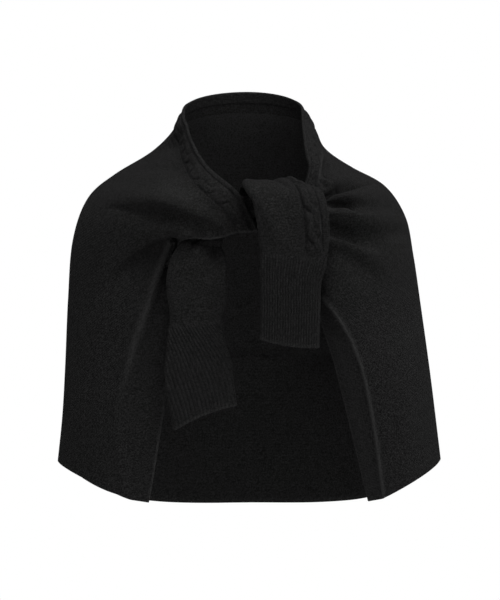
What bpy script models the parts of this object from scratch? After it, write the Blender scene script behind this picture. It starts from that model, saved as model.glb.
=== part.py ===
"""A knit bolero worn on the shoulders, with its two sleeves knotted in front.

The body is a shoulder cape of one back and two fronts. It hangs in rings that run round the wearer, from
the neck edge (row 0) to the hem (row 9). A front's ring starts at the shoulder and side seam, goes forward
in an arc, and ends in a tail: under the knot on the upper rows, and turned in behind a fold along the
front edge on the lower ones. The right sleeve wraps under the left one, comes up behind it and falls over
the knot. The left sleeve passes through that loop and hangs beside the right front.

Metres, +Z up. The wearer faces -Y, and the wearer's right is -X. The origin is the middle of the shoulder
line, at the base of the neck.
"""

from collections import namedtuple
from math import pi

import bmesh
import bpy
import numpy as np

# Cloth
BODY_WALL = 0.0024
SLEEVE_WALL = 0.0022

# Rows of the body's section tables
NECK_ROW = 0
BAND_ROW = 1
HEM_ROW = 9

# Share of a front ring that its arc takes
ARC_SHARE = 0.72

# How soon a back ring comes level, away from the side seams
BACK_FLATNESS = 4.5

# Half of a seam's gap, in rows and in shares of a ring
ROW_GAP = 0.007
RING_GAP = 0.0007

# Steps for slopes, in shares of a ring and in rows
RING_STEP = 0.01
ROW_STEP = 0.02

# Mesh counts
FRONT_COLUMNS = 20
FRONT_ROWS = 28
BACK_COLUMNS = 24
BACK_ROWS = 16
BAND_COLUMNS = 26
BACK_BAND_COLUMNS = 30
OVAL_STEPS = 720

# How much rows crowd towards the band, where the folds are, and columns towards the front edge
ROW_CROWDING = 1.25
RING_CROWDING = 0.12

# Lines along the neck band, as shares of its width: edge, roll, groove, and four over the cable.
# The roll and the cable have their middles and half widths in the same shares.
BAND_SHARES = (0.0, 0.10, 0.22, 0.40, 0.62, 0.84, 1.0)
EDGE_ROLL_AT = 0.10
EDGE_ROLL_HALF = 0.12
BAND_CABLE_AT = 0.62
BAND_CABLE_HALF = 0.34

# The cable that runs along the neck edge and down the right sleeve
CABLE_REPEAT = 0.040
CABLE_HEIGHT = 0.0022
EDGE_ROLL_HEIGHT = 0.0012
# Its two strands, in shares of its half width, and how far one sinks where it passes under the other
STRAND_SWING = 0.5
STRAND_HALF = 0.52
STRAND_SINK = 0.7

# The cuffs' rib
RIBS = 42
RIB_HEIGHT = 0.0011

# A flattened sleeve's section is an oval of this power, below 1 for blunter ends
OVAL_POWER = 0.8

# Edges sharper than this keep a hard shading line
SHARP_ANGLE = 0.8

SIDES = {"right": -1.0, "left": 1.0}

Section = namedtuple(
    "Section", "side_x side_y side_z front_x front_y front_z tail_x tail_y tail_z swag turn"
)
# side: where the ring crosses the shoulder and side seam. front: where its arc ends.
# tail: how far the cloth goes on from there. swag: 1 scoops like a neckline, 0 runs straight like a hem.
# turn: how softly the arc bends into the tail, as a share of the ring.
FRONTS = {
    "right": [
        Section(-0.0904, 0.025, 0.0596, -0.0120, -0.115, -0.0600, 0.026, 0.006, -0.056, 0.72, 0.13),
        Section(-0.1058, 0.022, 0.0255, -0.0334, -0.122, -0.0851, 0.020, 0.008, -0.034, 0.64, 0.13),
        Section(-0.1367, 0.020, -0.0057, -0.0520, -0.125, -0.0935, 0.021, 0.008, -0.031, 0.62, 0.13),
        Section(-0.1859, 0.018, -0.0326, -0.0733, -0.117, -0.1058, 0.024, -0.002, -0.022, 0.60, 0.13),
        Section(-0.2237, 0.015, -0.0665, -0.1052, -0.106, -0.1166, 0.022, -0.006, -0.011, 0.58, 0.12),
        Section(-0.2447, 0.012, -0.1256, -0.1015, -0.097, -0.1457, 0.012, 0.020, 0.008, 0.50, 0.05),
        Section(-0.2513, 0.010, -0.2100, -0.1280, -0.085, -0.2100, 0.046, -0.009, 0.000, 0.30, 0.06),
        Section(-0.2551, 0.010, -0.3013, -0.1594, -0.085, -0.2980, 0.057, -0.009, 0.000, 0.15, 0.06),
        Section(-0.2590, 0.010, -0.3713, -0.1744, -0.089, -0.3730, 0.059, -0.004, 0.000, 0.05, 0.06),
        Section(-0.2655, 0.010, -0.4347, -0.1612, -0.093, -0.4795, 0.028, 0.006, -0.005, 0.00, 0.06),
    ],
    "left": [
        Section(0.0790, 0.025, 0.0610, 0.0875, -0.085, -0.0264, -0.016, -0.032, -0.052, 1.00, 0.13),
        Section(0.0973, 0.022, 0.0283, 0.1004, -0.085, -0.0305, -0.024, -0.034, -0.050, 0.95, 0.13),
        Section(0.1113, 0.020, 0.0014, 0.1126, -0.095, -0.0473, -0.028, -0.028, -0.034, 0.85, 0.13),
        Section(0.1478, 0.018, -0.0227, 0.1258, -0.105, -0.0681, -0.038, -0.022, -0.018, 0.70, 0.13),
        Section(0.1941, 0.015, -0.0496, 0.1320, -0.118, -0.0916, -0.042, -0.014, -0.005, 0.60, 0.12),
        Section(0.2221, 0.012, -0.0919, 0.1316, -0.126, -0.1188, -0.040, -0.006, 0.003, 0.50, 0.09),
        Section(0.2333, 0.010, -0.1468, 0.1221, -0.128, -0.1591, -0.028, 0.004, 0.012, 0.30, 0.07),
        Section(0.2430, 0.010, -0.2128, 0.1098, -0.135, -0.2167, -0.014, 0.022, -0.005, 0.15, 0.06),
        Section(0.2570, 0.010, -0.3153, 0.1523, -0.140, -0.3101, -0.031, 0.028, 0.000, 0.05, 0.06),
        Section(0.2711, 0.010, -0.4305, 0.1820, -0.135, -0.4747, -0.019, 0.025, -0.006, 0.00, 0.06),
    ],
}

BackSection = namedtuple("BackSection", "back_y back_z swag")
BACK = [
    BackSection(0.062, 0.0858, 1.00),
    BackSection(0.068, 0.0580, 0.95),
    BackSection(0.078, 0.0300, 0.80),
    BackSection(0.093, -0.0120, 0.60),
    BackSection(0.109, -0.0680, 0.40),
    BackSection(0.122, -0.1400, 0.20),
    BackSection(0.129, -0.2280, 0.10),
    BackSection(0.132, -0.3250, 0.05),
    BackSection(0.134, -0.4120, 0.00),
    BackSection(0.137, -0.5050, 0.00),
]

Fold = namedtuple("Fold", "side near_ring near_row far_ring far_row height width")
# A ridge, or a trough where height is negative, along a line from near, at the knot, to far, where it dies
# out. ring is the share of a ring from the seam to the front edge, and below 0 on the back. width is in rows.
FOLDS = [
    Fold("right", 0.62, 2.62, 0.28, 3.60, -0.003, 0.36),
    Fold("right", 0.80, 2.05, 0.08, 3.55, 0.009, 0.45),
    Fold("right", 0.90, 3.70, 0.28, 4.95, 0.003, 0.45),
    Fold("right", 0.64, 4.95, 0.30, 6.10, -0.004, 0.40),
    Fold("right", 0.55, 5.70, 0.38, 7.20, 0.004, 0.50),
    Fold("right", 0.72, 4.70, 0.71, 9.40, 0.006, 0.28),
    Fold("left", 0.97, 2.50, 0.30, 3.20, -0.004, 0.25),
    Fold("left", 0.95, 3.08, 0.40, 3.20, 0.005, 0.30),
    Fold("left", 0.95, 3.42, 0.15, 4.30, -0.009, 0.32),
    Fold("left", 0.95, 3.80, 0.42, 4.40, 0.004, 0.25),
    Fold("left", 0.95, 4.90, 0.40, 5.55, -0.008, 0.42),
    Fold("left", 0.95, 5.40, 0.40, 6.00, 0.003, 0.35),
    Fold("left", 0.93, 6.05, 0.40, 6.80, -0.003, 0.42),
    Fold("left", 0.90, 6.30, 0.45, 7.10, 0.004, 0.40),
    Fold("right", -0.62, 9.40, -0.50, 4.80, 0.005, 0.45),
    Fold("right", -0.88, 9.40, -0.80, 5.60, -0.004, 0.50),
    Fold("left", -0.70, 9.40, -0.62, 5.20, 0.005, 0.45),
    Fold("left", -0.45, 9.40, -0.40, 5.60, -0.004, 0.45),
]
# A fold has its whole height where rows lie this far apart, and less where they come together at the knot
FULL_FOLD_ROW = 0.034
# Rows that count as long as one whole ring, for a fold's slope and width
ROWS_PER_RING = 5.0
# How a fold starts and dies out along its line
FOLD_START_SOFTNESS = 0.05
FOLD_START_FADE = 4.0
FOLD_END_POWER = 0.8

Tube = namedtuple("Tube", "x y z half_width half_thick")
# Centre and half sizes of each section of a flattened sleeve, in the order that the cloth runs.
RIGHT_SLEEVE = [
    Tube(-0.008, -0.103, -0.106, 0.019, 0.0055),
    Tube(-0.006, -0.085, -0.1130, 0.020, 0.0060),
    Tube(-0.002, -0.064, -0.106, 0.024, 0.0070),
    Tube(0.006, -0.056, -0.088, 0.028, 0.0070),
    Tube(0.018, -0.066, -0.064, 0.030, 0.0070),
    Tube(0.028, -0.096, -0.0560, 0.034, 0.0075),
    Tube(0.041, -0.130, -0.0575, 0.0435, 0.0080),
    Tube(0.053, -0.152, -0.0710, 0.0475, 0.0080),
    Tube(0.0591, -0.160, -0.0920, 0.0482, 0.0080),
    Tube(0.0626, -0.162, -0.1200, 0.0474, 0.0080),
    Tube(0.0624, -0.162, -0.1500, 0.0442, 0.0075),
    Tube(0.0585, -0.162, -0.1800, 0.0392, 0.0070),
    Tube(0.058, -0.161, -0.2200, 0.038, 0.0070),
    Tube(0.057, -0.160, -0.2665, 0.0375, 0.0070),
]
LEFT_SLEEVE = [
    Tube(0.080, -0.100, -0.096, 0.016, 0.0075),
    Tube(0.048, -0.093, -0.089, 0.015, 0.0075),
    Tube(0.006, -0.086, -0.084, 0.015, 0.0075),
    Tube(-0.034, -0.090, -0.090, 0.016, 0.0075),
    Tube(-0.048, -0.096, -0.116, 0.0190, 0.0070),
    Tube(-0.062, -0.1030, -0.143, 0.0350, 0.0070),
    Tube(-0.0671, -0.1075, -0.172, 0.0412, 0.0075),
    Tube(-0.0665, -0.1105, -0.210, 0.0395, 0.0075),
    Tube(-0.0690, -0.1115, -0.238, 0.0352, 0.0070),
    Tube(-0.0692, -0.1115, -0.270, 0.0382, 0.0070),
    Tube(-0.0655, -0.1115, -0.312, 0.0442, 0.0070),
    Tube(-0.0562, -0.1115, -0.3677, 0.0414, 0.0070),
]

# Where the right sleeve folds over the knot, its +X side droops: how far, from which share across the
# flat, and round which row
DROOP_DEPTH = 0.007
DROOP_FROM = 0.10
DROOP_ROW = 6.3
DROOP_ROWS = 1.2

Stretch = namedtuple(
    "Stretch", "name side first_row last_row stations points knit cable slants bow twist droop"
)
# The pieces of each sleeve. knit is bunched where the knot presses the cloth into one roll, plain, or ribbed.
# cable is the cable's place across the sleeve, 0 for none. slants are how much lower its start and end hang
# at -X than at +X, bow is how much higher the end hangs in the middle, and twist is how far its ribs turn.
STRETCHES = [
    Stretch("right_sleeve_wrap", "right", 0, 4, 10, 20, "bunched", 0.0, (0.0, 0.0), 0.0, 0.0, 0.0),
    Stretch("right_sleeve", "right", 4, 10, 15, 44, "plain", 0.0262, (0.0, 0.0), 0.0, 0.0, DROOP_DEPTH),
    Stretch("right_cuff", "right", 10, 13, 5, 84, "ribbed", 0.0, (0.0, -0.009), -0.003, 0.0, 0.0),
    Stretch("left_sleeve_pass", "left", 0, 4, 10, 20, "bunched", 0.0, (0.0, 0.016), 0.0, 0.0, 0.0),
    Stretch("left_sleeve", "left", 4, 8, 9, 28, "plain", 0.0, (0.016, 0.011), 0.0, 0.0, 0.0),
    Stretch("left_cuff", "left", 8, 11, 6, 84, "ribbed", 0.0, (0.011, 0.019), 0.005, -4.0, 0.0),
]
SLEEVES = {"right": RIGHT_SLEEVE, "left": LEFT_SLEEVE}
SLEEVE_CABLE_HALF_WIDTH = 0.011

# Knits and their colours
KNITS = {
    "plain": (0.0100, 0.0100, 0.0100, 1.0),
    "bunched": (0.0095, 0.0095, 0.0095, 1.0),
    "cable": (0.0105, 0.0105, 0.0105, 1.0),
    "ribbed": (0.0105, 0.0105, 0.0105, 1.0),
}


def clear_scene():
    for obj in list(bpy.data.objects):
        bpy.data.objects.remove(obj)


def knit_material(name, colour):
    material = bpy.data.materials.new(name)
    material.use_nodes = True
    shader = material.node_tree.nodes["Principled BSDF"]
    shader.inputs["Base Color"].default_value = colour
    shader.inputs["Roughness"].default_value = 0.95
    shader.inputs["Metallic"].default_value = 0.0
    return material


def smooth_rows(table, row):
    """The table's columns at a row that may lie between two, on a Catmull-Rom curve through all of them."""
    values = np.array(table, float)
    values = np.vstack([2 * values[0] - values[1], values, 2 * values[-1] - values[-2]])
    row = np.asarray(row, float)
    first = np.clip(np.floor(row).astype(int), 0, len(table) - 2)
    f = (row - first)[..., None]
    a, b, c, d = (values[first + step] for step in range(4))
    return 0.5 * (2 * b + (c - a) * f + (2 * a - 5 * b + 4 * c - d) * f**2 + (3 * b - a - 3 * c + d) * f**3)


def soft_ramp(x, half):
    """0 below -half, x above +half, and a parabola between."""
    return np.where(x < -half, 0.0, np.where(x > half, x, (x + half) ** 2 / (4 * half)))


def smooth_step(x):
    x = np.clip(x, 0, 1)
    return x * x * (3 - 2 * x)


def front_ring(side, row, ring):
    s = Section(*np.moveaxis(smooth_rows(FRONTS[side], row), -1, 0))
    past = soft_ramp(ring - ARC_SHARE, s.turn)
    turn = (ring - past) / ARC_SHARE * pi / 2
    tail = past / (1 - ARC_SHARE)
    drop = (1 - s.swag) * (1 - np.cos(turn)) + s.swag * np.sin(turn)
    x = s.front_x + (s.side_x - s.front_x) * np.cos(turn) + tail * s.tail_x
    y = s.side_y + (s.front_y - s.side_y) * np.sin(turn) + tail * s.tail_y
    z = s.side_z + (s.front_z - s.side_z) * drop + tail * s.tail_z
    return np.stack([x, y, z], -1)


def back_ring(side, row, ring):
    s = Section(*np.moveaxis(smooth_rows(FRONTS[side], row), -1, 0))
    b = BackSection(*np.moveaxis(smooth_rows(BACK, row), -1, 0))
    turn = -ring * pi / 2
    rise = (1 - b.swag) * (1 - np.abs(np.cos(turn)) ** BACK_FLATNESS) + b.swag * np.sin(turn)
    x = s.side_x * np.cos(turn)
    y = s.side_y + (b.back_y - s.side_y) * np.sin(turn)
    z = s.side_z + (b.back_z - s.side_z) * rise
    return np.stack([x, y, z], -1)


def plain_body(side, row, ring):
    """The body's outer face with no folds. ring is 0 at the seam, 1 in front and -1 at the back's middle."""
    return np.where((ring >= 0)[..., None], front_ring(side, row, ring), back_ring(side, row, ring))


def outward(surface, side, row, ring):
    """Unit normals of a body surface, by differences that reach across the seam."""
    across = surface(side, row, ring + RING_STEP) - surface(side, row, ring - RING_STEP)
    down = surface(side, row + ROW_STEP, ring) - surface(side, row - ROW_STEP, ring)
    normal = SIDES[side] * np.cross(across, down)
    return normal / np.linalg.norm(normal, axis=-1, keepdims=True)


def fold_height(side, row, ring):
    height = np.zeros_like(row)
    for fold in FOLDS:
        if fold.side != side:
            continue
        run_ring = (fold.far_ring - fold.near_ring) * ROWS_PER_RING
        run_row = fold.far_row - fold.near_row
        length = np.hypot(run_ring, run_row)
        at_ring = (ring - fold.near_ring) * ROWS_PER_RING
        at_row = row - fold.near_row
        share = (at_ring * run_ring + at_row * run_row) / length**2
        across = (at_ring * run_row - at_row * run_ring) / length
        start = np.exp(-soft_ramp(-share, FOLD_START_SOFTNESS) * FOLD_START_FADE)
        fade = start * np.cos(pi / 2 * np.clip(share, 0, 1)) ** FOLD_END_POWER
        height += fold.height * fade * np.exp(-((across / fold.width) ** 2))
    return height


def body(side, row, ring):
    """The body's outer face, with its folds."""
    above, below = plain_body(side, row - ROW_STEP, ring), plain_body(side, row + ROW_STEP, ring)
    row_length = np.linalg.norm(below - above, axis=-1) / (2 * ROW_STEP)
    height = fold_height(side, row, ring) * np.clip(row_length / FULL_FOLD_ROW, 0, 1)
    return plain_body(side, row, ring) + outward(plain_body, side, row, ring) * height[..., None]


def cable_height(along, across):
    """A rope cable's relief. along is metres, across runs from -1 to 1 over the cable."""
    phase = np.mod(along / CABLE_REPEAT, 1.0)
    swing = STRAND_SWING * np.cos(pi * phase)
    over = np.clip(1 - ((across - swing) / STRAND_HALF) ** 2, 0, 1)
    under = np.clip(1 - ((across + swing) / STRAND_HALF) ** 2, 0, 1)
    under *= 1 - STRAND_SINK * np.sin(pi * phase)
    return CABLE_HEIGHT * np.maximum(over, under)


def band_relief(points):
    """The neck band's relief: a rolled edge, a groove, and the cable."""
    share = np.array(BAND_SHARES)[:, None]
    steps = np.linalg.norm(np.diff(points, axis=1), axis=-1)
    along = np.concatenate([np.zeros((len(points), 1)), np.cumsum(steps, axis=1)], axis=1)
    roll = EDGE_ROLL_HEIGHT * np.clip(1 - ((share - EDGE_ROLL_AT) / EDGE_ROLL_HALF) ** 2, 0, 1)
    return roll + cable_height(along, (BAND_CABLE_AT - share) / BAND_CABLE_HALF)


def loft(points, wrapped):
    """Quads between neighbours in a grid of points. wrapped joins each row's end to its start."""
    index = np.arange(points.shape[0] * points.shape[1]).reshape(points.shape[:2])
    if wrapped:
        index = np.hstack([index, index[:, :1]])
    quads = np.stack([index[:-1, :-1], index[:-1, 1:], index[1:, 1:], index[1:, :-1]], -1)
    return quads.reshape(-1, 4).tolist()


def rim_lines(points, wrapped):
    """The grid's open edges, as lists of point numbers."""
    rows, columns = points.shape[:2]
    index = np.arange(rows * columns).reshape(rows, columns)
    if wrapped:
        index = np.hstack([index, index[:, :1]])
    lines = [index[0], index[-1]]
    if not wrapped:
        lines += [index[:, 0], index[:, -1]]
    return lines


def add_mesh(name, points, faces, material, collection):
    """An object of closed mesh, its faces turned outwards and any open end filled."""
    mesh = bpy.data.meshes.new(name)
    mesh.from_pydata(points.reshape(-1, 3).tolist(), [], faces)
    shape = bmesh.new()
    shape.from_mesh(mesh)
    bmesh.ops.holes_fill(shape, edges=shape.edges, sides=0)
    bmesh.ops.recalc_face_normals(shape, faces=shape.faces)
    shape.to_mesh(mesh)
    shape.free()
    mesh.shade_smooth()
    mesh.set_sharp_from_angle(angle=SHARP_ANGLE)
    mesh.materials.append(material)
    collection.objects.link(bpy.data.objects.new(name, mesh))


def add_wall(name, outer, inner, wrapped, material, collection):
    """A closed cloth wall between two equal grids of points."""
    count = outer.shape[0] * outer.shape[1]
    faces = loft(outer, wrapped)
    faces += [[i + count for i in reversed(face)] for face in faces]
    for line in rim_lines(outer, wrapped):
        faces += [[int(a), int(b), int(b) + count, int(a) + count] for a, b in zip(line[:-1], line[1:])]
    add_mesh(name, np.concatenate([outer.reshape(-1, 3), inner.reshape(-1, 3)]), faces, material, collection)


def body_grid(side, rows, rings):
    row, ring = np.meshgrid(rows, rings, indexing="ij")
    return body(side, row, ring), outward(body, side, row, ring)


def panel_rows(count):
    """Rows from the band to the hem, closer together at the top, where the folds are."""
    return BAND_ROW + ROW_GAP + (HEM_ROW - BAND_ROW - ROW_GAP) * np.linspace(0, 1, count + 1) ** ROW_CROWDING


def band_rows():
    return NECK_ROW + (BAND_ROW - ROW_GAP - NECK_ROW) * np.array(BAND_SHARES)


def front_rings(columns):
    """Ring shares from the seam to the front edge, closer together where the cloth turns at the front."""
    even = np.linspace(0, 1, columns + 1)
    return RING_GAP + (1 - RING_GAP) * (even + RING_CROWDING * np.sin(pi * even) * even)


def add_front(side, material, collection):
    points, normals = body_grid(side, panel_rows(FRONT_ROWS), front_rings(FRONT_COLUMNS))
    add_wall(f"{side}_front", points, points - normals * BODY_WALL, False, material, collection)


def add_front_band(side, material, collection):
    points, normals = body_grid(side, band_rows(), front_rings(BAND_COLUMNS))
    outer = points + normals * band_relief(points)[..., None]
    add_wall(f"{side}_neck_band", outer, points - normals * BODY_WALL, False, material, collection)


def back_grid(rows, columns):
    half = np.linspace(-RING_GAP, -1, columns // 2 + 1)
    right = body_grid("right", rows, half)
    left = body_grid("left", rows, half[::-1])
    return [np.concatenate([r, l[:, 1:]], axis=1) for r, l in zip(right, left)]


def add_back(material, collection):
    points, normals = back_grid(panel_rows(BACK_ROWS), BACK_COLUMNS)
    add_wall("back", points, points - normals * BODY_WALL, False, material, collection)


def add_back_band(material, collection):
    points, normals = back_grid(band_rows(), BACK_BAND_COLUMNS)
    outer = points + normals * band_relief(points)[..., None]
    add_wall("back_neck_band", outer, points - normals * BODY_WALL, False, material, collection)


def even_ring(half_width, half_thick, count, turned=0.0):
    """Even points round a flattened oval, as (across, out) pairs. turned is a share of the way round."""
    turn = np.linspace(0, 2 * pi, OVAL_STEPS + 1)
    across = half_width * np.sign(np.cos(turn)) * np.abs(np.cos(turn)) ** OVAL_POWER
    out = half_thick * np.sign(np.sin(turn)) * np.abs(np.sin(turn)) ** OVAL_POWER
    length = np.concatenate([[0], np.cumsum(np.hypot(np.diff(across), np.diff(out)))])
    at = np.mod(np.linspace(0, 1, count, endpoint=False) + turned, 1) * length[-1]
    return np.stack([np.interp(at, length, across), np.interp(at, length, out)], -1)


def sleeve_frames(side, at):
    """Sections of a sleeve, and its axes: across the flat, out of it, and along the path."""
    sections = smooth_rows(SLEEVES[side], at)
    before, after = (smooth_rows(SLEEVES[side], at + step) for step in (-ROW_STEP, ROW_STEP))
    path = (after - before)[:, :3]
    path /= np.linalg.norm(path, axis=1, keepdims=True)
    if side == "right":
        across = np.tile([1.0, 0.0, 0.0], (len(at), 1))
    else:
        across = np.cross(path, [0.0, 1.0, 0.0])
    across -= path * np.sum(across * path, axis=1, keepdims=True)
    across /= np.linalg.norm(across, axis=1, keepdims=True)
    return sections, across, np.cross(path, across)


def hang(stretch, share, row, flat):
    """How much higher the points of a section hang. flat runs from -1 to 1 across the section."""
    slant = stretch.slants[0] + (stretch.slants[1] - stretch.slants[0]) * share
    near_fold = np.exp(-(((row - DROOP_ROW) / DROOP_ROWS) ** 2))
    droop = smooth_step((flat - DROOP_FROM) / (1 - DROOP_FROM)) * near_fold
    rise = slant / 2 * flat + stretch.bow * (1 - flat**2) * share - stretch.droop * droop
    return rise[:, None] * np.array([0.0, 0.0, 1.0])


def add_stretch(stretch, material, collection):
    at = np.linspace(stretch.first_row + ROW_GAP, stretch.last_row - ROW_GAP, stretch.stations)
    sections, across, out = sleeve_frames(stretch.side, at)
    share = np.linspace(0, 1, stretch.stations)
    along = np.concatenate([[0], np.cumsum(np.linalg.norm(np.diff(sections[:, :3], axis=0), axis=1))])
    outer, inner = [], []
    for k, section in enumerate(map(Tube._make, sections)):
        centre = np.array([section.x, section.y, section.z])
        turned = stretch.twist * share[k] / RIBS
        ring = even_ring(section.half_width, section.half_thick, stretch.points, turned)
        inside = even_ring(
            section.half_width - SLEEVE_WALL, section.half_thick - SLEEVE_WALL, stretch.points, turned
        )
        axes = np.stack([across[k], out[k]])
        lift = hang(stretch, share[k], at[k], ring[:, 0] / section.half_width)
        inside_lift = hang(stretch, share[k], at[k], inside[:, 0] / section.half_width)
        if stretch.knit == "ribbed":
            ring *= 1 + RIB_HEIGHT * (np.arange(stretch.points) % 2)[:, None] / np.array([section[3:]])
        if stretch.cable:
            place = (ring[:, 0] - stretch.cable) / SLEEVE_CABLE_HALF_WIDTH
            ring[:, 1] += cable_height(along[k], place) * (ring[:, 1] > 0)
        outer.append(centre + ring @ axes + lift)
        inner.append(centre + inside @ axes + inside_lift)
    if stretch.knit == "bunched":
        add_mesh(stretch.name, np.stack(outer), loft(np.stack(outer), True), material, collection)
    else:
        add_wall(stretch.name, np.stack(outer), np.stack(inner), True, material, collection)


def main():
    clear_scene()
    collection = bpy.data.collections.new("knit_bolero")
    bpy.context.scene.collection.children.link(collection)
    knits = {name: knit_material(f"{name}_knit", colour) for name, colour in KNITS.items()}
    add_back(knits["plain"], collection)
    add_back_band(knits["cable"], collection)
    for side in SIDES:
        add_front(side, knits["plain"], collection)
        add_front_band(side, knits["cable"], collection)
    for stretch in STRETCHES:
        add_stretch(stretch, knits[stretch.knit], collection)


main()
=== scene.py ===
"""The looks of a knit bolero, worn on the shoulders with its two sleeves knotted in front.

Each piece is a thin knit wall on its solid's own form, at a finer step, with the creases, cable and ribs
that the solid has only in part. Places on the body are rows, from the neck edge (0) to the hem (9), and
rings, from the shoulder and side seam (0) to the front edge (1), or back to the middle of the back (-1).

Metres, +Z up. The wearer faces -Y, and the wearer's right is -X.
"""

from collections import namedtuple
from math import pi

import bpy
import numpy as np
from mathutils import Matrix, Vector


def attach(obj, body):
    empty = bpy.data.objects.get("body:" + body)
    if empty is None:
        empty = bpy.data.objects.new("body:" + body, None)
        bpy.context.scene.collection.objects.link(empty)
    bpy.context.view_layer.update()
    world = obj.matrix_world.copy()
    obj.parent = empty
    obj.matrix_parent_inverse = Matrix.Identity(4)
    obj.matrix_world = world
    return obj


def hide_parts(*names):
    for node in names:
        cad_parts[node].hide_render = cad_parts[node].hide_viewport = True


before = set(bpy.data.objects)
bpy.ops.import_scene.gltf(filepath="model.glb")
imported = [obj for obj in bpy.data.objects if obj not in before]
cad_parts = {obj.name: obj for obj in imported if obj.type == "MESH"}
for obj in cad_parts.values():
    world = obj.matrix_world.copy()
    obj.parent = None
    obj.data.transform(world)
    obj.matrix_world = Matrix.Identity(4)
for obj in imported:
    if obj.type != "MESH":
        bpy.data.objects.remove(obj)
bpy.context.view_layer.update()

# Cloth
BODY_WALL = 0.0024
SLEEVE_WALL = 0.0022

# Rows of the body's section tables
NECK_ROW = 0
BAND_ROW = 1
HEM_ROW = 9

# Share of a front ring that its arc takes, and how soon a back ring comes level away from the side seams
ARC_SHARE = 0.72
BACK_FLATNESS = 4.5

# Half of a seam's gap, in rows and in shares of a ring, and steps for slopes
ROW_GAP = 0.002
RING_GAP = 0.0002
RING_STEP = 0.01
ROW_STEP = 0.02
# The least length to divide by
LEAST_LENGTH = 1e-12

# Mesh counts, and how far a panel's rows crowd towards the band
FRONT_COLUMNS = 150
FRONT_ROWS = 190
BACK_COLUMNS = 200
BACK_ROWS = 130
BAND_COLUMNS = 260
BAND_ROWS = 40
OVAL_STEPS = 720
ROW_CROWDING = 1.25

# The neck band: a rolled edge, a groove, the cable, and a groove, at shares of its width. The band is
# thicker inside, down to a soft ledge.
EDGE_ROLL_AT = 0.06
EDGE_ROLL_HALF = 0.085
EDGE_ROLL_HEIGHT = 0.0004
BAND_CABLE_AT = 0.57
BAND_CABLE_HALF = 0.29
GROOVES = (0.17, 0.95)
GROOVE_HALF = 0.030
GROOVE_DEPTH = 0.0010
BAND_THICKER = 0.0011
BAND_LEDGE_AT = 0.56
BAND_LEDGE_SOFTNESS = 0.10

# The rope cable on the sleeve and on the band. Its crossings on the band come now sooner and now later, by
# the wander. A strand's edge is cut in, by a share of the height, where it crosses over the other.
SLEEVE_CABLE_REPEAT = 0.037
BAND_CABLE_REPEAT = 0.028
SLEEVE_CABLE_HEIGHT = 0.0034
BAND_CABLE_HEIGHT = 0.0021
SLEEVE_STRAND_CUT = 0.5
BAND_STRAND_CUT = 0.30
BAND_CABLE_WANDER = 0.0030
BAND_CABLE_WANDERS_OVER = 0.064
# A crossing in shares of a repeat, and the strands in shares of the cable's half width
CROSS_START = 0.18
CROSS_LENGTH = 0.60
STRAND_SWING = 0.46
STRAND_HALF = 0.62
STRAND_ROUNDNESS = 0.5
STRAND_SINK = 0.80
STRAND_EDGE_HALF = 0.14
# The cable down the sleeve, which lies on the outer face alone, above a share of the sleeve's half
# thickness, and dies out at the cuff. A groove lies on each side of it, at a share of its half width.
SLEEVE_CABLE_HALF = 0.0100
SLEEVE_CABLE_START = 0.0045
CABLE_ENDS_OVER = 0.009
CABLE_RISES_BY = 0.3
SLEEVE_GROOVE_AT = 1.06
SLEEVE_GROOVE_HALF = 0.0014
SLEEVE_GROOVE_DEPTH = 0.0020

# The cuffs' ribs, and the lip at a cuff's end
RIB_HEIGHT = 0.0016
RIB_ROUNDNESS = 0.7
RIB_GROWS_OVER = 0.010
CUFF_LIP_HEIGHT = 0.0007
CUFF_LIP_LENGTH = 0.0022

# How square a flattened sleeve's oval is: 1 is an ellipse
OVAL_POWER = 0.8

# The wearer's right and left, and the way that each lies along X
SIDES = {"right": -1.0, "left": 1.0}

Section = namedtuple(
    "Section", "side_x side_y side_z front_x front_y front_z tail_x tail_y tail_z swag turn"
)
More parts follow.
